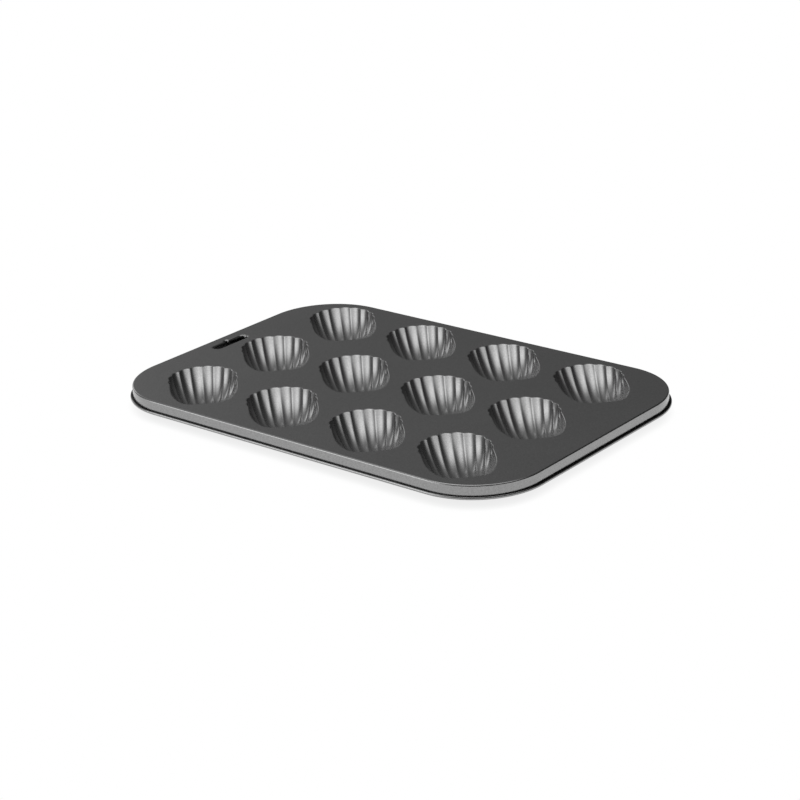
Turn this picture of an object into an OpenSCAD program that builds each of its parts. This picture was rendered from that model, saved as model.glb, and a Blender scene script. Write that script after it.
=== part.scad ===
// Madeleine tin for twelve cakes, pressed from one sheet of coated steel.
// The pressing is drawn as its formed regions: the deck, the skirt, the rolled
// rim and one fluted shell for each cake, which meet face to face.
// The wire that stiffens the rolled rim is the second piece.
// Millimetres, +Z up. Z = 0 is the table that the shells stand on, and the
// origin is under the middle of the tin. The hanging slot is at the -X end.

/* [Shell pattern] */
// Number of shells along the tin
columns = 4; // [1:1:6]
// Number of shells across the tin
rows = 3; // [1:1:5]
// Distance from shell to shell along the tin
pitch_x = 82.6; // [80:0.1:100]
// Distance from shell to shell across the tin
pitch_y = 83.6; // [80:0.1:100]
// Angle that the fan end of each shell is turned from the back edge
shell_turn = 46; // [40:1:50]
// Offset of each shell towards its fan end, which evens out the deck around it
shell_shift = 0.9; // [0:0.1:4]
// Deck from the middle of the last shell to the end of the tin
end_land = 66.1; // [62:0.1:90]
// Deck from the middle of the last shell to the side of the tin
side_land = 48.4; // [46:0.1:70]

/* [Fluted shell] */
// Length of a shell over its ridges, from the fan edge to the tail
shell_l = 80; // [74:0.5:86]
// Width of a shell over its ridges, across the fan
shell_w = 52; // [46:0.5:54]
// Depth of a shell at the bottom of its flutes
shell_d = 17; // [12:0.5:22]
// Number of flutes across a shell
flutes = 10; // [6:2:12]
// Height of a ridge between two flutes
ridge_h = 1.1; // [0.5:0.1:2]
// How much more the flutes swell at the mouth's edge, as a share of the ridge height
rim_swell = 0.5; // [0:0.05:1]
// Share of the ridge height that is left at the tail
ridge_fade = 0.3; // [0:0.05:0.8]
// Share of the ridge height that the outermost flutes lose
side_calm = 0.7; // [0:0.05:0.9]
// Width across the flutes at the tail
tail_w = 37; // [28:0.5:42]
// Rounding of the tail's corners, along the shell
tail_round = 5; // [1:0.5:8]
// Fullness of the long sides in plan: 1 is straight from the fan to the tail
side_power = 3; // [2:0.1:5]
// Half angle of the fan's arc, from the axis to the start of a long side
fan_angle = 108; // [96:1:112]
// Length of the curved fan wall, as a share of the shell
fan_share = 0.44; // [0.3:0.01:0.48]
// Place where the floor starts to rise to the tail, as a share of the shell
tail_share = 0.5; // [0.5:0.01:0.65]
// Share of the width that the level floor takes
floor_share = 0.14; // [0.14:0.02:0.4]
// Fullness of the fan wall and the long sides: 2 is a parabola, less is nearer a cone
wall_power = 1.7; // [1.4:0.1:2.5]

/* [Sheet and rim] */
// Thickness of the coated sheet
sheet_t = 0.5; // [0.4:0.05:0.8]
// Height of the rim, from the deck to the underside of the roll
rim_h = 10.5; // [7:0.5:16]
// Corner radius of the tin over the roll
corner_r = 58; // [30:1:66]
// Outer radius of the bend from the deck into the skirt
bend_r = 1.2; // [0.9:0.1:3]
// Outer diameter of the rolled rim
roll_d = 2.6; // [2.4:0.1:4]
// Angle above level, on the outer side, at which the rolled edge stops
roll_end = 60; // [20:5:80]
// Clearance between the wire and the roll around it
wire_gap = 0.05; // [0.02:0.01:0.1]

/* [Hanging slot] */
// Length of the slot
slot_l = 38; // [20:1:50]
// Width of the slot
slot_w = 8.8; // [6:0.2:12]
// Distance from the end of the tin to the middle of the slot
slot_inset = 16; // [14:0.5:20]
// Radius of the hook notch in the outer side of the slot
notch_r = 2.5; // [1:0.1:4]
// Depth of the edge that is turned down around the slot
slot_lip = 2; // [1:0.1:4]

/* [Hidden] */
deck_z = shell_d + sheet_t;
pan_l = (columns - 1) * pitch_x + 2 * end_land;
pan_w = (rows - 1) * pitch_y + 2 * side_land;
roll_r = roll_d / 2;
roll_out = roll_d - sheet_t;
skirt_l = pan_l - 2 * roll_out;
skirt_w = pan_w - 2 * roll_out;
skirt_r = corner_r - roll_out;
roll_z = deck_z - rim_h + roll_r;
wire_r = roll_r - sheet_t - wire_gap;

fan_r = shell_w / 2;
fan_v = shell_l / 2 - fan_r;
tail_v = -shell_l / 2;

// Grid of a shell: strips run from the fan to the tail, with three in a flute
per_flute = 3;
strips = flutes * per_flute;
wall_steps = 3;
stations = concat(
    [for (i = [0:wall_steps]) fan_share * i / wall_steps],
    [tail_share],
    [for (i = [1:wall_steps]) tail_share + (1 - tail_share) * sin(90 * i / wall_steps)]
);
last_station = len(stations) - 1;

// How far a cutting shape runs past what it cuts
cut_past = 1;

coat = [0.29, 0.29, 0.30];
coat_light = [0.46, 0.46, 0.48];
wire_grey = [0.55, 0.55, 0.56];

$fn = 64;

// Names and places

function shell_name(row, column) = str("shell_", row, "_", column);

// Middle of a shell on the deck; row 1 is the front row, column 1 is by the slot
function shell_place(row, column) = [
    (column - (columns + 1) / 2) * pitch_x - shell_shift * sin(shell_turn),
    (row - (rows + 1) / 2) * pitch_y + shell_shift * cos(shell_turn)
];

// Plan of a shell: t runs across it from -1 to 1, s from the fan (0) to the tail (1)

// The fan's arc runs on as a straight line from its widest place
function fan_point(t) = let (
        turn = fan_angle * abs(t),
        arc = min(turn, 90),
        straight = fan_r * (turn - arc) * PI / 180
    ) [sign(t) * fan_r * sin(arc), fan_v + fan_r * cos(arc) - straight];
function tail_point(t) = [tail_w / 2 * t, tail_v + tail_round * pow(t, 4)];
// The outer strips bow out, so that the long sides leave the fan without a waist
function bow(t, s) = (shell_w - tail_w) / 2 * pow(t, 3) * (s - pow(s, side_power));
function plan(t, s) = (1 - s) * fan_point(t) + s * tail_point(t) + [bow(t, s), 0];

// Share of the full depth, 0 at the rim and 1 on the floor

// Power that makes the tail's wall steep at the rim and soft at the floor
tail_power = 0.75;
function fan_rise(s) = 1 - pow(max(0, 1 - s / fan_share), wall_power);
function tail_rise(s) = let (u = max(0, (s - tail_share) / (1 - tail_share)))
    pow(max(0, 1 - u * u), tail_power);
function along(s) = fan_rise(s) * tail_rise(s);
function across(t) = 1 - pow(max(0, (abs(t) - floor_share) / (1 - floor_share)), wall_power);

// The lesser of the two rises rules, and where they are alike they meet softly
function share(t, s) = let (a = along(s), b = across(t))
    min(a, b) <= 0 ? 0 : a * b / (a + b - a * b);

// Outward direction in plan, from the slope of the depth over a small step

step = 0.001;
function inside(v, low, high) = min(max(v, low), high);
function slope_inside(t, s) = let (
        a = plan(t + step, s) - plan(t - step, s),
        b = plan(t, s + step) - plan(t, s - step),
        da = share(t + step, s) - share(t - step, s),
        db = share(t, s + step) - share(t, s - step),
        area = a[0] * b[1] - a[1] * b[0]
    ) [(da * b[1] - db * a[1]) / area, (db * a[0] - da * b[0]) / area];
function slope(t, s) = slope_inside(inside(t, step - 1, 1 - step), inside(s, step, 1 - step));
function outward(t, s) = let (g = slope(t, s), size = norm(g)) size < step ? [0, 0] : -g / size;

// Flutes: a shallow arc between two ridges, which get lower to the tail and the sides

// Power that keeps the swell of the flutes close to the mouth's edge
swell_power = 4;
function ridge_at(t, s) = ridge_h * (1 - (1 - ridge_fade) * s) * (1 - side_calm * pow(abs(t), 3));
function swell_at(g) = sqrt(1 - g * g) * (1 + rim_swell * pow(1 - g, swell_power));
function flute_arc(i) = let (u = 2 * (i % per_flute) / per_flute - 1) 1 - u * u;
flute_top = flute_arc(floor(per_flute / 2));

// One point of the shell's skin; skin is 0 inside and 1 outside. The outer skin lies
// a sheet's thickness off the wall, and at the rim it meets the deck's underside.
function skin_point(i, s, skin) = let (
        t = 2 * i / strips - 1,
        g = share(t, s),
        ridge = ridge_at(t, s),
        deep = shell_d - ridge * (flute_top - flute_arc(i)),
        lean = atan(deep * norm(slope(t, s))),
        away = swell_at(g) * ridge * flute_arc(i),
        skin_out = skin * sheet_t * (g > 0 ? sin(lean) : tan(lean / 2)),
        skin_down = skin * sheet_t * (g > 0 ? cos(lean) : 1),
        p = plan(t, s) + (away + skin_out) * outward(t, s)
    ) [p[0], p[1], -g * deep - skin_down];

// Grid places around the edge of a shell, in order
edge_places = concat(
    [for (i = [0:strips - 1]) [i, 0]],
    [for (j = [0:last_station - 1]) [strips, j]],
    [for (i = [strips:-1:1]) [i, last_station]],
    [for (j = [last_station:-1:1]) [0, j]]
);
edge_count = len(edge_places);
function edge_point(e) = skin_point(edge_places[e][0], stations[edge_places[e][1]], 1);
edge_outline = [for (e = [0:edge_count - 1]) [edge_point(e)[0], edge_point(e)[1]]];

// Solid of one shell, with its edge level with the deck's two faces
module fluted_shell() {
    row = strips + 1;
    count = row * len(stations);
    skins = [for (skin = [0, 1], s = stations, i = [0:strips]) skin_point(i, s, skin)];
    top = [for (p = edge_outline) [p[0], p[1], 0]];
    function at(e, skin) = let (q = edge_places[e % edge_count]) skin * count + q[1] * row + q[0];
    function top_at(e) = 2 * count + e % edge_count;
    inner_faces = [for (j = [0:last_station - 1], i = [0:strips - 1]) let (a = j * row + i)
        each [[a, a + row, a + 1], [a + 1, a + row, a + row + 1]]];
    outer_faces = [for (f = inner_faces) [f[0] + count, f[2] + count, f[1] + count]];
    lip_faces = [for (e = [0:edge_count - 1])
        each [[at(e, 0), at(e + 1, 0), top_at(e)], [at(e + 1, 0), top_at(e + 1), top_at(e)]]];
    side_faces = [for (e = [0:edge_count - 1])
        each [[top_at(e), top_at(e + 1), at(e, 1)], [top_at(e + 1), at(e + 1, 1), at(e, 1)]]];
    polyhedron(concat(skins, top), concat(inner_faces, outer_faces, lip_faces, side_faces));
}

// Plan of the tin, with corners of radius r, moved in by inset

module tin_plan(inset) {
    r = skirt_r - inset;
    l = skirt_l - 2 * inset;
    w = skirt_w - 2 * inset;
    square([l - 2 * r, w], center = true);
    square([l, w - 2 * r], center = true);
    for (x = [-1, 1], y = [-1, 1])
        translate([x * (l / 2 - r), y * (w / 2 - r)])
        circle(r);
}

// Runs a profile around the skirt; its x is the distance out from the skirt's face
module around_tin() {
    for (turn = [0, 180]) rotate(turn) {
        translate([skirt_l / 2, 0, 0])
        rotate([90, 0, 0])
        linear_extrude(skirt_w - 2 * skirt_r, center = true)
        children();

        translate([0, skirt_w / 2, 0])
        rotate([90, 0, 90])
        linear_extrude(skirt_l - 2 * skirt_r, center = true)
        children();

        translate([skirt_l / 2 - skirt_r, skirt_w / 2 - skirt_r, 0])
        rotate_extrude(angle = 90)
        translate([skirt_r, 0])
        children();

        translate([skirt_r - skirt_l / 2, skirt_w / 2 - skirt_r, 0])
        rotate([0, 0, 90])
        rotate_extrude(angle = 90)
        translate([skirt_r, 0])
        children();
    }
}

// Outline of the hanging slot, grown by wall, with its hook notch
module slot_plan(wall) {
    end_r = slot_w / 2;
    run = slot_l - slot_w;
    translate([slot_inset - pan_l / 2, 0]) {
        square([slot_w + 2 * wall, run], center = true);
        for (y = [-run / 2, run / 2])
            translate([0, y])
            circle(end_r + wall);
        translate([-end_r, 0])
        circle(notch_r + wall);
    }
}

// Sub-parts

// Flat top of the pressing, with its shell openings and the lipped hanging slot
module deck() {
    color(coat)
    translate([0, 0, deck_z])
    difference() {
        union() {
            translate([0, 0, -sheet_t])
            linear_extrude(sheet_t)
            difference() {
                tin_plan(bend_r);
                for (row = [1:rows], column = [1:columns])
                    translate(shell_place(row, column))
                    rotate(shell_turn)
                    polygon(edge_outline);
            }
            translate([0, 0, -slot_lip])
            linear_extrude(slot_lip)
            slot_plan(sheet_t);
        }
        translate([0, 0, -slot_lip - cut_past])
        linear_extrude(slot_lip + 2 * cut_past)
        slot_plan(0);
    }
}

// Upright edge of the pressing, with the bend that joins it to the deck
module skirt() {
    color(coat_light)
    around_tin() {
        translate([-sheet_t, roll_z])
        square([sheet_t, deck_z - bend_r - roll_z]);

        translate([-bend_r, deck_z - bend_r])
        intersection() {
            difference() {
                circle(bend_r);
                circle(bend_r - sheet_t);
            }
            square(bend_r + cut_past);
        }
    }
}

// Curled edge of the sheet, open at the top where it stops short of the skirt
module rolled_rim() {
    color(coat_light)
    around_tin()
    translate([roll_r - sheet_t, roll_z])
    difference() {
        circle(roll_r);
        circle(roll_r - sheet_t);
        polygon([
            [0, 0],
            roll_d * [cos(roll_end), sin(roll_end)],
            [roll_d * cos(roll_end), roll_d + cut_past],
            [-roll_d, roll_d + cut_past],
            [-roll_d, 0]
        ]);
    }
}

// Steel wire that the edge is curled around
module rim_wire() {
    color(wire_grey)
    around_tin()
    translate([roll_r - sheet_t, roll_z])
    circle(wire_r);
}

// One fluted baking shell in its place, with its fan end towards the back left
module shell(row, column) {
    color(coat_light)
    translate([each shell_place(row, column), deck_z])
    rotate(shell_turn)
    fluted_shell();
}

deck();
skirt();
rolled_rim();
rim_wire();
for (row = [1:rows], column = [1:columns])
    shell(row, column);
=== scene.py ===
"""Looks of a twelve-cake madeleine tin: one pressed sheet of coated steel with a wired rim.

The CAD frame gives every place. Each formed region of the pressing is modelled here in
fine detail and stands for its CAD node: the deck with its hanging slot, the twelve fluted
shells, the skirt and the rolled rim. The rim wire keeps its CAD solid.
"""

from __future__ import annotations

import logging
import math
from dataclasses import dataclass, field
from enum import Enum

import bpy
import numpy as np
from mathutils import Matrix, Vector


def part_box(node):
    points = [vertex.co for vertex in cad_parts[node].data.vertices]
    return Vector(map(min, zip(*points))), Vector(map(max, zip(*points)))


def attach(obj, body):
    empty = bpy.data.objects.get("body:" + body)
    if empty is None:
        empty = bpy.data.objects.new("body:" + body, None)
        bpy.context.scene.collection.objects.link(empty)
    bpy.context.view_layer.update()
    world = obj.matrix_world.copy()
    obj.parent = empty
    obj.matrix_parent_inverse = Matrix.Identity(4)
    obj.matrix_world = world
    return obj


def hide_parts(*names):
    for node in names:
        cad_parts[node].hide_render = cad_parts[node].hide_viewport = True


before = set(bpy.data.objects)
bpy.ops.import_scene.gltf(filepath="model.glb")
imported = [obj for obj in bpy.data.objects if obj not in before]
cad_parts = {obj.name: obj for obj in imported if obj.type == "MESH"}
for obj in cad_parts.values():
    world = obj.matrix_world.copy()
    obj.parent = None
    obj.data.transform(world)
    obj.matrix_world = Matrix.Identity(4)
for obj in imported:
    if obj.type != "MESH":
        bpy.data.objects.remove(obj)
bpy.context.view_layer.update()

LOG = logging.getLogger("madeleine_tin")
MM = 0.001
ROOT = "root"

# Vertices of a formed sheet closer than this are one vertex, and points of an outline one point.
MERGE_WITHIN = 0.002 * MM
POINTS_APART = 0.01 * MM

# Keeps a division away from zero.
TINY = 1e-9

# Most of a noise pattern lies between these two values.
NOISE_LOW = 0.3
NOISE_HIGH = 0.7

# Position and grey level of one stop of a ramp, each from 0 to 1.
Stop = tuple[float, float]


class Edge(Enum):
    """How a piece's facets are shaded."""

    FLAT = 0.0
    CREASED = 35.0


# Modelling helpers


def clear_selection() -> None:
    """Deselect everything, so that an operator acts on the new piece alone."""
    if bpy.context.object and bpy.context.object.mode != "OBJECT":
        bpy.ops.object.mode_set(mode="OBJECT")
    bpy.ops.object.select_all(action="DESELECT")


def pick(piece: bpy.types.Object) -> None:
    """Make a piece the only selected and the active object.

    Args:
        piece: The object to select.
    """
    clear_selection()
    piece.select_set(True)
    bpy.context.view_layer.objects.active = piece


def formed_sheet(name: str, places: np.ndarray) -> bpy.types.Object:
    """Form a flat grid into a surface, as a press forms a blank.

    Args:
        name: Name of the new object.
        places: Array of rows x columns x 3 with the place of every grid vertex, in metres.

    Returns:
        The formed sheet, with its doubled vertices merged.
    """
    rows, columns = places.shape[:2]
    clear_selection()
    bpy.ops.mesh.primitive_grid_add(x_subdivisions=columns - 1, y_subdivisions=rows - 1, size=2)
    sheet = bpy.context.object
    sheet.name = sheet.data.name = name
    flat = np.empty(len(sheet.data.vertices) * 3)
    sheet.data.vertices.foreach_get("co", flat)
    flat = flat.reshape(-1, 3)
    column = np.rint((flat[:, 0] + 1) / 2 * (columns - 1)).astype(int)
    row = np.rint((flat[:, 1] + 1) / 2 * (rows - 1)).astype(int)
    sheet.data.vertices.foreach_set("co", places[row, column].ravel())
    sheet.data.update()
    bpy.ops.object.mode_set(mode="EDIT")
    bpy.ops.mesh.select_all(action="SELECT")
    bpy.ops.mesh.remove_doubles(threshold=MERGE_WITHIN)
    bpy.ops.object.mode_set(mode="OBJECT")
    return sheet


def lofted_band(name: str, loops: list[np.ndarray]) -> bpy.types.Object:
    """Loft a closed band through loops that have the same number of points.

    Args:
        name: Name of the new object.
        loops: Closed loops from one edge of the band to the other, each points x 3.

    Returns:
        The band as one surface.
    """
    grid = np.stack(loops)
    return formed_sheet(name, np.concatenate([grid, grid[:, :1]], axis=1))


def thicken(piece: bpy.types.Object, thickness: float) -> None:
    """Give a formed sheet its thickness, on the side away from its normals.

    Args:
        piece: The surface to thicken.
        thickness: Thickness of the sheet in metres.
    """
    pick(piece)
    wall = piece.modifiers.new("sheet", "SOLIDIFY")
    wall.thickness = thickness
    wall.offset = -1
    bpy.ops.object.modifier_apply(modifier=wall.name)


def prism(name: str, outline: np.ndarray, low: float, high: float) -> bpy.types.Object:
    """Raise a solid from a closed outline.

    Args:
        name: Name of the new object.
        outline: Points of the outline in plan, points x 2, anticlockwise.
        low: Height of the underside in metres.
        high: Height of the top in metres.

    Returns:
        The closed solid.
    """
    count = len(outline)
    clear_selection()
    bpy.ops.mesh.primitive_circle_add(vertices=count, radius=1, fill_type="NGON")
    solid = bpy.context.object
    solid.name = solid.data.name = name
    for vertex in solid.data.vertices:
        turn = math.atan2(vertex.co.y, vertex.co.x) / math.tau * count
        x, y = outline[round(turn) % count]
        vertex.co = (x, y, low)
    bpy.ops.object.mode_set(mode="EDIT")
    bpy.ops.mesh.select_all(action="SELECT")
    bpy.ops.mesh.extrude_region_move(TRANSFORM_OT_translate={"value": (0, 0, high - low)})
    bpy.ops.mesh.select_all(action="SELECT")
    bpy.ops.mesh.normals_make_consistent(inside=False)
    bpy.ops.object.mode_set(mode="OBJECT")
    return solid


def joined(pieces: list[bpy.types.Object]) -> bpy.types.Object:
    """Join objects into the first one.

    Args:
        pieces: Objects to join, of which the first keeps its name.

    Returns:
        The joined object.
    """
    clear_selection()
    for piece in pieces:
        piece.select_set(True)
    bpy.context.view_layer.objects.active = pieces[0]
    bpy.ops.object.join()
    return bpy.context.object


def cut(piece: bpy.types.Object, tool: bpy.types.Object) -> None:
    """Cut a piece with a tool solid, and remove the tool.

    Args:
        piece: The piece that is cut.
        tool: The closed solid to take away.
    """
    pick(piece)
    punch = piece.modifiers.new("punch", "BOOLEAN")
    punch.operation = "DIFFERENCE"
    punch.solver = "EXACT"
    punch.object = tool
    bpy.ops.object.modifier_apply(modifier=punch.name)
    bpy.data.objects.remove(tool)


def shade(piece: bpy.types.Object, edge: Edge) -> None:
    """Shade a piece flat, or smooth with its corners kept sharp.

    Args:
        piece: The piece to shade.
        edge: How its facets are shaded.
    """
    pick(piece)
    if edge is Edge.FLAT:
        bpy.ops.object.shade_flat()
    else:
        bpy.ops.object.shade_smooth_by_angle(angle=math.radians(edge.value))


def place_in_frame(piece: bpy.types.Object, node: str) -> None:
    """Tie a finished piece to the frame in place of its CAD node.

    Args:
        piece: The finished piece.
        node: CAD node that the piece stands for.
    """
    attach(piece, ROOT)
    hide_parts(node)


# Finishes


class NodeBench:
    """Small helper that lays out the nodes of one material or world."""

    def __init__(self, owner: bpy.types.Material | bpy.types.World) -> None:
        """Start an empty node tree on its owner.

        Args:
            owner: Material or world that gets the nodes.
        """
        owner.use_nodes = True
        self.owner = owner
        self.tree = owner.node_tree
        self.tree.nodes.clear()
        kind = "World" if isinstance(owner, bpy.types.World) else "Material"
        self.output = self.tree.nodes.new(f"ShaderNodeOutput{kind}")

    def add(self, kind: str, **values: object) -> bpy.types.Node:
        """Add a node and set its named inputs or properties.

        Args:
            kind: Blender's type name of the node.
            values: Inputs by name with underscores for spaces, or node properties.

        Returns:
            The new node.
        """
        node = self.tree.nodes.new(kind)
        for key, value in values.items():
            socket = node.inputs.get(key.replace("_", " "))
            if socket is None:
                setattr(node, key, value)
            else:
                socket.default_value = value
        return node

    def link(self, source: bpy.types.NodeSocket, target: bpy.types.NodeSocket) -> None:
        """Link one socket to another."""
        self.tree.links.new(source, target)

    def ramp(self, source: bpy.types.NodeSocket, low: Stop, high: Stop) -> bpy.types.NodeSocket:
        """Map a value through a grey ramp with two stops.

        Args:
            source: Socket that drives the ramp.
            low: First stop.
            high: Second stop.

        Returns:
            The ramp's colour socket.
        """
        node = self.add("ShaderNodeValToRGB")
        for element, (position, level) in zip(node.color_ramp.elements, (low, high)):
            element.position = position
            element.color = (level, level, level, 1)
        self.link(source, node.inputs["Fac"])
        return node.outputs["Color"]


@dataclass(frozen=True)
class CoatedSteel:
    """Satin dark non-stick coating on pressed steel, with a fine metallic fleck."""

    name: str = "coated_steel"
    tone: float = 0.3
    fleck_low: float = 0.88
    fleck_high: float = 1.13
    fleck_size: float = 0.9 * MM
    fleck_detail: float = 2.0
    cloud_size: float = 60 * MM
    cloud_detail: float = 3.0
    roughness: float = 0.2
    roughness_spread: float = 0.03
    metal: float = 0.92
    grain_size: float = 0.45 * MM
    grain_detail: float = 1.0
    grain_depth: float = 0.012 * MM

    def build(self) -> bpy.types.Material:
        """Lay out the coating: a fleck in its colour, a cloud in its gloss and a grain in its relief.

        Returns:
            The material of the coated sheet.
        """
        bench = NodeBench(bpy.data.materials.new(self.name))
        place = bench.add("ShaderNodeTexCoord").outputs["Object"]
        fleck = bench.add("ShaderNodeTexNoise", Scale=1 / self.fleck_size, Detail=self.fleck_detail)
        cloud = bench.add("ShaderNodeTexNoise", Scale=1 / self.cloud_size, Detail=self.cloud_detail)
        grain = bench.add("ShaderNodeTexNoise", Scale=1 / self.grain_size, Detail=self.grain_detail)
        for texture in (fleck, cloud, grain):
            bench.link(place, texture.inputs["Vector"])
        dark, light = self.tone * self.fleck_low, self.tone * self.fleck_high
        colour = bench.ramp(fleck.outputs["Fac"], (NOISE_LOW, dark), (NOISE_HIGH, light))
        glossy = self.roughness - self.roughness_spread
        matt = self.roughness + self.roughness_spread
        gloss = bench.ramp(cloud.outputs["Fac"], (NOISE_LOW, glossy), (NOISE_HIGH, matt))
        bump = bench.add("ShaderNodeBump", Strength=1.0, Distance=self.grain_depth)
        bench.link(grain.outputs["Fac"], bump.inputs["Height"])
        shader = bench.add("ShaderNodeBsdfPrincipled", Metallic=self.metal)
        bench.link(colour, shader.inputs["Base Color"])
        bench.link(gloss, shader.inputs["Roughness"])
        bench.link(bump.outputs["Normal"], shader.inputs["Normal"])
        bench.link(shader.outputs["BSDF"], bench.output.inputs["Surface"])
        return bench.owner


@dataclass(frozen=True)
class GrooveShadeWire:
    """Drawn steel wire with a fine mottle, near black as painted shade for the dark groove between the
    skirt and the curled rim.
    """

    name: str = "wire_painted_groove_shade"
    # Near black: painted shade that darkens the groove between the skirt and the curled rim.
    tone: float = 0.035
    mottle_low: float = 0.8
    mottle_high: float = 1.2
    mottle_size: float = 1.2 * MM
    mottle_detail: float = 3.0
    roughness: float = 0.42

    def build(self) -> bpy.types.Material:
        """Lay out the wire's metal, near black as painted shade for the groove, with the mottle in its
        colour.

        Returns:
            The material of the wire.
        """
        bench = NodeBench(bpy.data.materials.new(self.name))
        place = bench.add("ShaderNodeTexCoord").outputs["Object"]
        mottle = bench.add("ShaderNodeTexNoise", Scale=1 / self.mottle_size, Detail=self.mottle_detail)
        bench.link(place, mottle.inputs["Vector"])
        shader = bench.add("ShaderNodeBsdfPrincipled", Metallic=1.0, Roughness=self.roughness)
        dark, light = self.tone * self.mottle_low, self.tone * self.mottle_high
        colour = bench.ramp(mottle.outputs["Fac"], (NOISE_LOW, dark), (NOISE_HIGH, light))
        bench.link(colour, shader.inputs["Base Color"])
        bench.link(shader.outputs["BSDF"], bench.output.inputs["Surface"])
        return bench.owner


# Plan curves


@dataclass(frozen=True)
class RoundedPlan:
    """Rounded rectangle in plan that can be drawn at any distance out from its line."""

    length: float
    width: float
    radius: float
    corner_steps: int = 40

    def loop(self, out: float, height: float) -> np.ndarray:
        """Return the outline moved out by a distance, at a height.

        Args:
            out: Distance outward from the plan's line, in metres.
            height: Height of the loop, in metres.

        Returns:
            Points x 3, anticlockwise from the right side.
        """
        x, y = self.length / 2 - self.radius, self.width / 2 - self.radius
        points = []
        for quarter, (cx, cy) in enumerate(((x, y), (-x, y), (-x, -y), (x, -y))):
            turn = np.radians(np.linspace(90 * quarter, 90 * quarter + 90, self.corner_steps + 1))
            reach = self.radius + out
            points.append(np.stack([cx + reach * np.cos(turn), cy + reach * np.sin(turn)], axis=1))
        plan = np.concatenate(points)
        return np.column_stack([plan, np.full(len(plan), height)])


@dataclass(frozen=True)
class SlotPlan:
    """Hanging slot in plan: a long slot with a hook notch in its outer side."""

    middle_x: float
    length: float = 38 * MM
    width: float = 8.8 * MM
    notch_radius: float = 2.5 * MM
    end_steps: int = 24
    notch_steps: int = 16

    def loop(self, out: float, height: float) -> np.ndarray:
        """Return the slot's outline grown by a distance, at a height.

        Args:
            out: Distance outward from the slot's edge, in metres.
            height: Height of the loop, in metres.

        Returns:
            Points x 3, anticlockwise from the right side.
        """
        half = self.width / 2
        run = self.length / 2 - half
        reach = half + out
        back = np.radians(np.linspace(0, 180, self.end_steps + 1))
        front = np.radians(np.linspace(180, 360, self.end_steps + 1))
        grown = self.notch_radius + out
        mouth = math.acos(out / grown)
        notch = math.pi + np.linspace(-mouth, mouth, self.notch_steps + 1)
        plan = np.concatenate([
            np.stack([reach * np.cos(back), run + reach * np.sin(back)], axis=1),
            np.stack([-half + grown * np.cos(notch), grown * np.sin(notch)], axis=1),
            np.stack([reach * np.cos(front), -run + reach * np.sin(front)], axis=1),
        ])
        return np.column_stack([plan[:, 0] + self.middle_x, plan[:, 1], np.full(len(plan), height)])


# Sub-assemblies


@dataclass(frozen=True)
class Sheet:
    """Sizes that all regions of the pressing share, read from the frame."""

    thickness: float = 0.5 * MM
    bend_radius: float = 1.2 * MM
    roll_diameter: float = 2.6 * MM
    corner_radius: float = 58 * MM
    seam: float = 0.7 * MM

    @property
    def deck_height(self) -> float:
        """Height of the deck's top over the table."""
        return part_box("deck")[1][2]

    @property
    def roll_height(self) -> float:
        """Height of the middle of the rolled rim."""
        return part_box("rolled_rim")[0][2] + self.roll_diameter / 2

    @property
    def skirt_plan(self) -> RoundedPlan:
        """Plan of the skirt's outer face.

        Returns:
            Rounded rectangle as large as the skirt's CAD node.
        """
        low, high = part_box("skirt")
        radius = self.corner_radius - self.roll_diameter + self.thickness
        return RoundedPlan(high[0] - low[0], high[1] - low[1], radius)


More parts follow.
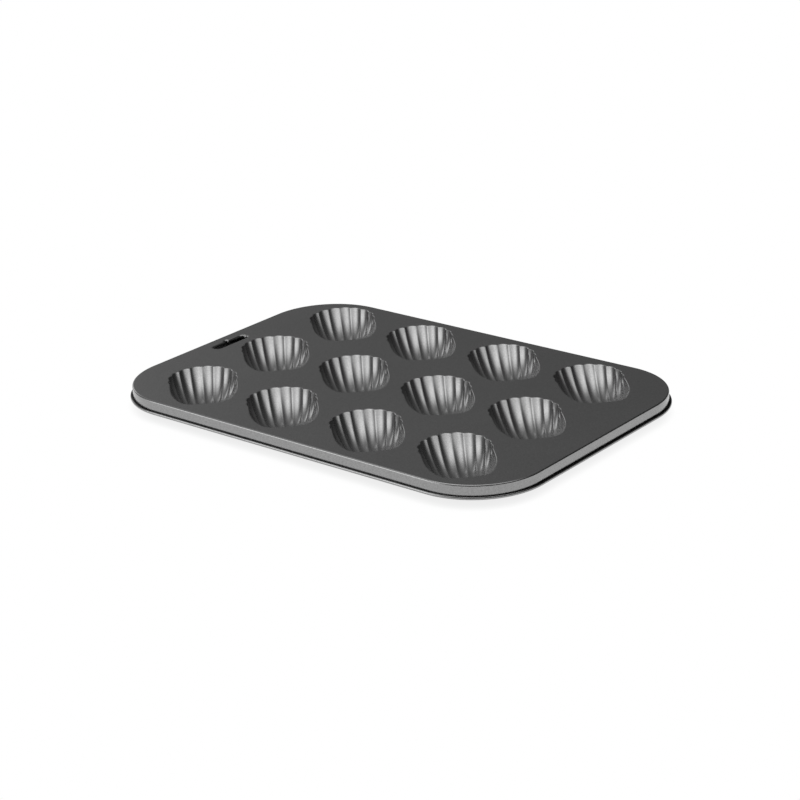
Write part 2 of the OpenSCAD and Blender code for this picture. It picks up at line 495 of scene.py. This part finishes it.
@dataclass(frozen=True)
class FlutedShell:
    """One fluted baking shell, formed from strips that run from its fan to its tail.

    The plan sizes are those of the wall's upper end, where the rounded lip starts. The lip
    brings the mouth out to the CAD's edge and a little past it. The shell's own axes have the
    fan at +Y, the tail at -Y and the deck's top at height 0. A strip is numbered t, from -1 to
    1 across the shell, and a station s, from 0 at the fan's edge to 1 at the tail's.
    """

    sheet: Sheet
    length: float = 79.2 * MM
    width: float = 51.2 * MM
    depth: float = 17 * MM
    flutes: int = 10
    ridge: float = 1.1 * MM
    rim_swell: float = 0.5
    swell_power: float = 4.0
    ridge_fade: float = 0.3
    side_calm: float = 0.7
    calm_power: int = 3
    ridge_round: float = 0.08
    tail_width: float = 36.2 * MM
    tail_round: float = 5 * MM
    tail_round_power: int = 4
    side_power: float = 3.0
    bow_power: int = 3
    fan_angle: float = 108.0
    fan_share: float = 0.44
    tail_share: float = 0.5
    floor_share: float = 0.14
    wall_power: float = 1.7
    tail_power: float = 0.75
    lip_drop: float = 0.5 * MM
    lip_slope: float = 0.8
    turn: float = 46.0
    shift: float = 0.9 * MM
    flute_steps: int = 12
    fan_steps: int = 22
    floor_steps: int = 3
    tail_steps: int = 18
    lip_steps: int = 5
    probe_step: float = 0.001
    level_fall: float = 0.001

    def fan_point(self, t: np.ndarray) -> np.ndarray:
        """Return the fan's edge, an arc that goes on straight past its widest place.

        Args:
            t: Strips.

        Returns:
            Places in plan, one for each strip.
        """
        radius = self.width / 2
        turn = self.fan_angle * np.abs(t)
        arc = np.radians(np.minimum(turn, 90))
        straight = radius * np.radians(np.maximum(turn - 90, 0))
        along = self.length / 2 - radius + radius * np.cos(arc) - straight
        return np.stack([np.sign(t) * radius * np.sin(arc), along], axis=-1)

    def tail_point(self, t: np.ndarray) -> np.ndarray:
        """Return the places in plan of the tail's edge at strips t."""
        end = self.tail_round * t**self.tail_round_power - self.length / 2
        return np.stack([self.tail_width / 2 * t, end], axis=-1)

    def plan(self, t: np.ndarray, s: np.ndarray) -> np.ndarray:
        """Return places in plan between the fan's edge and the tail's, on bowed sides.

        Args:
            t: Strips.
            s: Stations.

        Returns:
            Places in plan, one for each pair of strip and station.
        """
        mix = s[..., None]
        place = (1 - mix) * self.fan_point(t) + mix * self.tail_point(t)
        bow = (self.width - self.tail_width) / 2 * (s - s**self.side_power)
        place[..., 0] += bow * t**self.bow_power
        return place

    def share(self, t: np.ndarray, s: np.ndarray) -> np.ndarray:
        """Return how much of the full depth the shell has, with walls on all four sides.

        Args:
            t: Strips.
            s: Stations.

        Returns:
            Shares, from 0 at the edge to 1 at the bottom.
        """
        fan = np.clip(1 - s / self.fan_share, 0, 1) ** self.wall_power
        tail = np.clip((s - self.tail_share) / (1 - self.tail_share), 0, 1) ** 2
        side = np.clip((np.abs(t) - self.floor_share) / (1 - self.floor_share), 0, 1)
        along = (1 - fan) * (1 - tail) ** self.tail_power
        across = 1 - side**self.wall_power
        both = along * across
        return both / np.maximum(along + across - both, TINY)

    def outward(self, t: np.ndarray, s: np.ndarray) -> tuple[np.ndarray, np.ndarray]:
        """Return the outward direction in plan, and how fast the share falls that way.

        Args:
            t: Strips.
            s: Stations.

        Returns:
            Unit vectors, or zeros where the shell is level, and the share that is lost in a metre.
        """
        step = self.probe_step
        t, s = np.clip(t, step - 1, 1 - step), np.clip(s, step, 1 - step)
        across = self.plan(t + step, s) - self.plan(t - step, s)
        along = self.plan(t, s + step) - self.plan(t, s - step)
        gain_across = self.share(t + step, s) - self.share(t - step, s)
        gain_along = self.share(t, s + step) - self.share(t, s - step)
        area = across[..., 0] * along[..., 1] - across[..., 1] * along[..., 0]
        slope_x = gain_across * along[..., 1] - gain_along * across[..., 1]
        slope_y = gain_along * across[..., 0] - gain_across * along[..., 0]
        slope = np.stack([slope_x, slope_y], axis=-1) / area[..., None]
        size = np.linalg.norm(slope, axis=-1, keepdims=True)
        away = np.where(size < self.level_fall, 0.0, -slope / np.maximum(size, TINY))
        return away, size[..., 0]

    def flute(self, t: np.ndarray) -> np.ndarray:
        """Return the section across the flutes, a row of soft arches.

        Args:
            t: Strips.

        Returns:
            Heights from 0 on a ridge to 1 in the middle of a flute.
        """
        place = (t + 1) / 2 * self.flutes
        away = 1 - np.abs(2 * (place - np.floor(place)) - 1)
        soft = self.ridge_round
        away = (np.hypot(away, soft) - soft) / (math.hypot(1, soft) - soft)
        return 1 - (1 - away) ** 2

    def strips(self) -> np.ndarray:
        """Space the strips evenly, but closer together towards the edge in the outer flutes.

        Returns:
            Strips from -1 to 1.
        """
        t = np.linspace(-1, 1, self.flutes * self.flute_steps + 1)
        start = 1 - 2 / self.flutes
        out = np.clip((np.abs(t) - start) / (1 - start), 0, 1)
        eased = np.sign(t) * (start + (1 - start) * np.sin(out * math.pi / 2))
        return np.where(np.abs(t) > start, eased, t)

    def stations(self) -> np.ndarray:
        """Space the stations from the fan to the tail, closer together at both edges.

        Returns:
            Stations from 0 to 1.
        """
        fan = self.fan_share * (1 - np.cos(np.linspace(0, math.pi / 2, self.fan_steps + 1)))
        floor = np.linspace(self.fan_share, self.tail_share, self.floor_steps + 1)[1:]
        rise = np.sin(np.linspace(0, math.pi / 2, self.tail_steps + 1))[1:]
        return np.concatenate([fan, floor, self.tail_share + (1 - self.tail_share) * rise])

    def places(self) -> np.ndarray:
        """Work out the inner face in the shell's own axes, with its rounded lip and its seam.

        Returns:
            Rows from the tail to the fan x columns x 3, in metres.
        """
        border = self.lip_steps + 1
        t = np.pad(self.strips(), border, mode="edge")
        s = np.pad(self.stations(), border, mode="edge")
        t, s = np.meshgrid(t, s)
        rows, columns = t.shape
        row, column = np.indices(t.shape)
        ring = np.maximum(
            np.maximum(border - row, row - (rows - 1 - border)),
            np.maximum(border - column, column - (columns - 1 - border)),
        ).clip(0)
        sunk = self.share(t, s)
        ridge = self.ridge * (1 - (1 - self.ridge_fade) * s)
        ridge = ridge * (1 - self.side_calm * np.abs(t) ** self.calm_power)
        swell = ridge * self.flute(t)
        deep = self.depth - ridge + swell
        swell = swell * (1 + self.rim_swell * (1 - sunk) ** self.swell_power)
        outward, fall = self.outward(t, s)
        wall = np.arctan(np.maximum(fall * deep, self.lip_slope))
        slope = wall * (1 - np.clip(ring, 0, self.lip_steps) / self.lip_steps)
        radius = self.lip_drop / (1 - np.cos(wall))
        out = radius * (np.sin(wall) - np.sin(slope))
        out = out + np.where(ring > self.lip_steps, self.sheet.seam, 0)
        rise = np.where(ring > 0, radius * (np.cos(slope) - np.cos(wall)), 0)
        plan = self.plan(t, s) + (np.sqrt(1 - sunk * sunk) * swell + out)[..., None] * outward
        return np.dstack([plan, rise - self.lip_drop - sunk * (deep - self.lip_drop)])[::-1]

    def mouth(self) -> np.ndarray:
        """Take the outline of the shell's seam with the deck, in the shell's own axes.

        Returns:
            Points x 2 of the closed outline, anticlockwise.
        """
        grid = self.places()[..., :2]
        loop = np.concatenate([grid[0, :-1], grid[:-1, -1], grid[-1, :0:-1], grid[:0:-1, 0]])
        apart = np.linalg.norm(loop - np.roll(loop, 1, axis=0), axis=1) > POINTS_APART
        return loop[apart]

    def build(self, finish: bpy.types.Material) -> bpy.types.Object:
        """Form, thicken and dress one shell in its own axes.

        Args:
            finish: Material of the sheet.

        Returns:
            The shell that the others are copied from.
        """
        piece = formed_sheet("fluted_shell", self.places())
        thicken(piece, self.sheet.thickness)
        shade(piece, Edge.CREASED)
        piece.data.materials.append(finish)
        return piece


@dataclass(frozen=True)
class ShellPattern:
    """Rows and columns of shells on the deck, all turned alike."""

    shell: FlutedShell
    rows: int = 3
    columns: int = 4
    pitch_x: float = 82.6 * MM
    pitch_y: float = 83.6 * MM

    def nodes(self) -> list[str]:
        """Return the names of the shells' CAD nodes."""
        return [f"shell_{r}_{c}" for r in range(1, self.rows + 1) for c in range(1, self.columns + 1)]

    def place(self, node: str) -> Matrix:
        """Return the turn and move that bring a shell to its node's place.

        Args:
            node: CAD node, whose name gives the row and the column.

        Returns:
            Transform from the shell's own axes to the frame.
        """
        row, column = (int(part) for part in node.split("_")[1:])
        x = (column - (self.columns + 1) / 2) * self.pitch_x
        y = (row - (self.rows + 1) / 2) * self.pitch_y
        turn = Matrix.Rotation(math.radians(self.shell.turn), 4, "Z")
        shift = Matrix.Translation((0, self.shell.shift, self.shell.sheet.deck_height))
        return Matrix.Translation((x, y, 0)) @ turn @ shift

    def mouths(self) -> list[np.ndarray]:
        """Set the outline of a shell's mouth in every place.

        Returns:
            Closed outlines in the frame, each points x 2.
        """
        mouth = self.shell.mouth()
        outlines = []
        for node in self.nodes():
            place = np.array(self.place(node))
            outlines.append(mouth @ place[:2, :2].T + place[:2, 3])
        return outlines

    def build(self, finish: bpy.types.Material) -> list[bpy.types.Object]:
        """Model one shell and copy it to every place, each copy with its own mesh.

        Args:
            finish: Material of the sheet.

        Returns:
            The shells.
        """
        model = self.shell.build(finish)
        shells = []
        for node in self.nodes():
            piece = model.copy()
            piece.data = model.data.copy()
            bpy.context.scene.collection.objects.link(piece)
            piece.data.transform(self.place(node))
            piece.name = piece.data.name = f"fluted_{node}"
            place_in_frame(piece, node)
            shells.append(piece)
        bpy.data.objects.remove(model)
        return shells


@dataclass(frozen=True)
class Deck:
    """Flat top of the pressing, with its shell mouths and its lipped hanging slot."""

    sheet: Sheet
    pattern: ShellPattern
    slot_inset: float = 16 * MM
    slot_depth: float = 2 * MM
    slot_round: float = 1.5 * MM
    slot_lean: float = 0.7 * MM
    round_steps: int = 8
    punch_reach: float = 5 * MM

    @property
    def slot(self) -> SlotPlan:
        """Plan of the hanging slot, set in from the rim's left side."""
        low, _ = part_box("rolled_rim")
        return SlotPlan(middle_x=low[0] + self.slot_inset)

    @property
    def slot_seam(self) -> float:
        """Distance from the slot's edge to the seam between its lip and the deck."""
        return self.slot_round - self.slot_lean + self.sheet.seam

    def blank(self) -> bpy.types.Object:
        """Cut the deck's rounded blank, which ends where the skirt's bend starts.

        Returns:
            The blank, without its openings.
        """
        inset = self.sheet.bend_radius + self.sheet.seam
        outline = self.sheet.skirt_plan.loop(-inset, 0)[:, :2]
        top = self.sheet.deck_height
        return prism("deck_plate", outline, top - self.sheet.thickness, top)

    def slot_lip(self) -> bpy.types.Object:
        """Form the rounded edge that is turned down around the hanging slot.

        Returns:
            The lip, as thick as the sheet.
        """
        slot, top = self.slot, self.sheet.deck_height
        loops = [slot.loop(self.slot_seam, top)]
        for turn in np.radians(np.linspace(90, 0, self.round_steps + 1)):
            out = self.slot_round * (1 - math.cos(turn)) - self.slot_lean
            loops.append(slot.loop(out, top - self.slot_round * (1 - math.sin(turn))))
        loops.append(slot.loop(-self.slot_lean, top - self.slot_depth))
        lip = lofted_band("slot_lip", loops)
        thicken(lip, self.sheet.thickness)
        return lip

    def slot_mouth(self) -> np.ndarray:
        """Return the closed outline of the seam between the slot's lip and the deck."""
        return self.slot.loop(self.slot_seam, 0)[:, :2]

    def build(self, finish: bpy.types.Material) -> bpy.types.Object:
        """Punch the blank, add the slot's lip and dress the deck.

        Args:
            finish: Material of the sheet.

        Returns:
            The finished deck.
        """
        plate = self.blank()
        top = self.sheet.deck_height
        low, high = top - self.punch_reach, top + self.punch_reach
        mouths = self.pattern.mouths() + [self.slot_mouth()]
        tools = [prism(f"punch_{index}", mouth, low, high) for index, mouth in enumerate(mouths)]
        cut(plate, joined(tools))
        shade(plate, Edge.CREASED)
        lip = self.slot_lip()
        shade(lip, Edge.CREASED)
        deck = joined([plate, lip])
        deck.name = deck.data.name = "pressed_deck"
        deck.data.materials.append(finish)
        place_in_frame(deck, "deck")
        return deck


@dataclass(frozen=True)
class Rim:
    """Skirt, rolled edge and wire around the pan."""

    sheet: Sheet
    roll_end: float = 42.0
    bend_steps: int = 10
    wall_steps: int = 4
    roll_steps: int = 30
    tip_steps: int = 5

    def skirt(self, finish: bpy.types.Material) -> bpy.types.Object:
        """Bend the skirt down from the deck's edge and dress it.

        Args:
            finish: Material of the sheet.

        Returns:
            The finished skirt.
        """
        sheet, plan = self.sheet, self.sheet.skirt_plan
        top, bend = sheet.deck_height, sheet.bend_radius
        loops = [plan.loop(-bend - sheet.seam, top)]
        for turn in np.radians(np.linspace(90, 0, self.bend_steps + 1)):
            loops.append(plan.loop(bend * (math.cos(turn) - 1), top - bend * (1 - math.sin(turn))))
        for height in np.linspace(top - bend, sheet.roll_height, self.wall_steps + 1)[1:]:
            loops.append(plan.loop(0, height))
        piece = lofted_band("bent_skirt", loops[::-1])
        thicken(piece, sheet.thickness)
        shade(piece, Edge.CREASED)
        piece.data.materials.append(finish)
        place_in_frame(piece, "skirt")
        return piece

    def roll(self, finish: bpy.types.Material) -> bpy.types.Object:
        """Curl the sheet's edge outward around the wire and dress it.

        The section is drawn out from the skirt's outer face and up from the roll's middle. It
        runs along the outside of the curl, round its free edge and back along the inside.

        Args:
            finish: Material of the sheet.

        Returns:
            The finished rolled rim.
        """
        sheet, plan = self.sheet, self.sheet.skirt_plan
        outer, half = sheet.roll_diameter / 2, sheet.thickness / 2
        inner = outer - sheet.thickness
        middle = inner
        end = math.radians(self.roll_end)
        turns = np.linspace(-math.pi, end, self.roll_steps + 1)
        section = [(middle + outer * math.cos(turn), outer * math.sin(turn)) for turn in turns]
        tip = (outer + inner) / 2
        for turn in np.linspace(end, end + math.pi, self.tip_steps + 1)[1:-1]:
            x = middle + tip * math.cos(end) + half * math.cos(turn)
            section.append((x, tip * math.sin(end) + half * math.sin(turn)))
        section += [(middle + inner * math.cos(turn), inner * math.sin(turn)) for turn in turns[::-1]]
        section.append(section[0])
        loops = [plan.loop(x, sheet.roll_height + z) for x, z in section]
        piece = lofted_band("curled_rim", loops)
        shade(piece, Edge.CREASED)
        piece.data.materials.append(finish)
        place_in_frame(piece, "rolled_rim")
        return piece

    def wire(self, finish: bpy.types.Material) -> bpy.types.Object:
        """Dress the wire, which keeps its CAD solid.

        Args:
            finish: Material of the wire, whose near-black tone is painted shade for the groove.

        Returns:
            The wire's CAD node.
        """
        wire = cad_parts["rim_wire"]
        wire.data.materials.clear()
        wire.data.materials.append(finish)
        return wire


# Studio


@dataclass(frozen=True)
class SoftGlow:
    """One soft patch of light on the studio's light tent, with its angles in degrees.

    Its light is the glow in its middle and falls off smoothly, faster where it is tighter.
    """

    name: str
    azimuth: float
    elevation: float
    tightness: float
    glow: float

    @property
    def direction(self) -> Vector:
        """Unit vector from the table to the middle of the patch.

        Returns:
            Direction in the frame's axes.
        """
        turn, rise = math.radians(self.azimuth), math.radians(self.elevation)
        level = math.cos(rise)
        return Vector((level * math.cos(turn), level * math.sin(turn), math.sin(rise)))

    def build(self, bench: NodeBench, toward: bpy.types.NodeSocket) -> bpy.types.NodeSocket:
        """Add the nodes of the patch.

        Args:
            bench: Node bench of the world.
            toward: Socket of the direction that is looked in.

        Returns:
            Socket with the patch's light, which falls off smoothly around its middle.
        """
        near = bench.add("ShaderNodeVectorMath", operation="DOT_PRODUCT", label=self.name)
        near.inputs[1].default_value = self.direction
        bench.link(toward, near.inputs[0])
        fall = bench.add("ShaderNodeMath", operation="MULTIPLY_ADD")
        fall.inputs[1].default_value = self.tightness
        fall.inputs[2].default_value = -self.tightness
        bench.link(near.outputs["Value"], fall.inputs[0])
        soft = bench.add("ShaderNodeMath", operation="EXPONENT")
        bench.link(fall.outputs[0], soft.inputs[0])
        light = bench.add("ShaderNodeMath", operation="MULTIPLY")
        light.inputs[1].default_value = self.glow
        bench.link(soft.outputs[0], light.inputs[0])
        return light.outputs[0]


@dataclass
class Studio:
    """Pale floor, soft light tent and the photograph's camera."""

    floor_size: float = 60.0
    floor_tone: float = 0.8
    shadow_reach: float = 45 * MM
    seen_shadow: tuple[Stop, Stop] = ((0.0, 0.8), (0.7, 1.0))
    mirrored_shadow: tuple[Stop, Stop] = ((0.2, 0.0), (0.6, 1.0))
    room_tone: float = 0.03
    camera_place: tuple[float, float, float] = (0.98543, -1.17828, 0.60812)
    camera_aim: tuple[float, float, float] = (0.02293, -0.02400, 0.0175)
    camera_roll: float = 2.34
    lens: float = 96.9
    sensor: float = 36.0
    glows: list[SoftGlow] = field(default_factory=lambda: [
        SoftGlow("low_left", 234.8, 5, 12, 3.1),
        SoftGlow("back_left_card", 160, 18, 40, 1.4),
        SoftGlow("overhead", 219.8, 80, 12, 1.4),
        SoftGlow("high_right", 21.8, 65, 30, 1.3),
        SoftGlow("high_left", 201.8, 65, 30, 1.15),
        SoftGlow("high_back", 129.8, 80, 30, 0.57),
        SoftGlow("back", 141.8, 50, 12, 0.26),
        SoftGlow("back_fill", 138, 20, 5, 0.08),
    ])

    def floor_finish(self) -> bpy.types.Material:
        """Lay out the floor's nodes.

        The floor shows white where it is seen or mirrored, darker close to the pan, and deeper
        so where it is mirrored. It lights the pan as a plain pale floor and is clear from below.

        Returns:
            The material of the floor.
        """
        bench = NodeBench(bpy.data.materials.new("studio_floor"))
        path = bench.add("ShaderNodeLightPath")
        seen = path.outputs["Is Camera Ray"]
        for kind in ("Is Glossy Ray", "Is Transmission Ray"):
            either = bench.add("ShaderNodeMath", operation="MAXIMUM")
            bench.link(seen, either.inputs[0])
            bench.link(path.outputs[kind], either.inputs[1])
            seen = either.outputs[0]
        plain = bench.add("ShaderNodeBsdfDiffuse", Color=(self.floor_tone,) * 3 + (1,))
        open_sky = bench.add("ShaderNodeAmbientOcclusion", Distance=self.shadow_reach)
        shadow = bench.add("ShaderNodeMixRGB")
        bench.link(path.outputs["Is Camera Ray"], shadow.inputs[0])
        bench.link(bench.ramp(open_sky.outputs["AO"], *self.mirrored_shadow), shadow.inputs[1])
        bench.link(bench.ramp(open_sky.outputs["AO"], *self.seen_shadow), shadow.inputs[2])
        white = bench.add("ShaderNodeEmission", Strength=1.0)
        bench.link(shadow.outputs[0], white.inputs["Color"])
        mix = bench.add("ShaderNodeMixShader")
        bench.link(seen, mix.inputs[0])
        bench.link(plain.outputs[0], mix.inputs[1])
        bench.link(white.outputs[0], mix.inputs[2])
        side = bench.add("ShaderNodeNewGeometry")
        one_sided = bench.add("ShaderNodeMixShader")
        bench.link(side.outputs["Backfacing"], one_sided.inputs[0])
        bench.link(mix.outputs[0], one_sided.inputs[1])
        bench.link(bench.add("ShaderNodeBsdfTransparent").outputs[0], one_sided.inputs[2])
        bench.link(one_sided.outputs[0], bench.output.inputs["Surface"])
        return bench.owner

    def floor(self) -> None:
        """Lay the floor under the pan."""
        clear_selection()
        bpy.ops.mesh.primitive_plane_add(size=self.floor_size)
        floor = bpy.context.object
        floor.name = floor.data.name = "studio_floor"
        shade(floor, Edge.FLAT)
        floor.data.materials.append(self.floor_finish())

    def room(self) -> None:
        """Light the room with a dim tent and the soft patches of light on it."""
        world = bpy.data.worlds.new("studio_room")
        bpy.context.scene.world = world
        bench = NodeBench(world)
        toward = bench.add("ShaderNodeTexCoord").outputs["Generated"]
        total = bench.add("ShaderNodeValue").outputs[0]
        total.default_value = self.room_tone
        for glow in self.glows:
            both = bench.add("ShaderNodeMath", operation="ADD")
            bench.link(total, both.inputs[0])
            bench.link(glow.build(bench, toward), both.inputs[1])
            total = both.outputs[0]
        back = bench.add("ShaderNodeBackground", Strength=1.0)
        bench.link(total, back.inputs["Color"])
        bench.link(back.outputs[0], bench.output.inputs["Surface"])

    def camera(self) -> None:
        """Set the camera where the photograph was taken from."""
        data = bpy.data.cameras.new("photo_camera")
        data.lens = self.lens
        data.sensor_width = self.sensor
        camera = bpy.data.objects.new("photo_camera", data)
        bpy.context.scene.collection.objects.link(camera)
        toward = Vector(self.camera_aim) - Vector(self.camera_place)
        turned = toward.to_track_quat("-Z", "Y").to_matrix().to_4x4()
        roll = Matrix.Rotation(math.radians(-self.camera_roll), 4, "Z")
        camera.matrix_world = Matrix.Translation(self.camera_place) @ turned @ roll
        bpy.context.scene.camera = camera

    def build(self) -> None:
        """Set up the camera, the light and the floor."""
        self.camera()
        self.room()
        self.floor()
        bpy.context.scene.view_settings.view_transform = "Standard"
        LOG.info("studio: %d soft patches of light", len(self.glows))


def main() -> None:
    logging.basicConfig(level=logging.INFO, format="%(name)s: %(message)s")
    Studio().build()
    coat = CoatedSteel().build()
    sheet = Sheet()
    pattern = ShellPattern(FlutedShell(sheet))
    rim = Rim(sheet)
    pieces = [Deck(sheet, pattern).build(coat)]
    pieces += pattern.build(coat)
    pieces += [rim.skirt(coat), rim.roll(coat), rim.wire(GrooveShadeWire().build())]
    for piece in pieces:
        LOG.info("%s: %d faces", piece.name, len(piece.data.polygons))


if __name__ == "__main__":
    main()
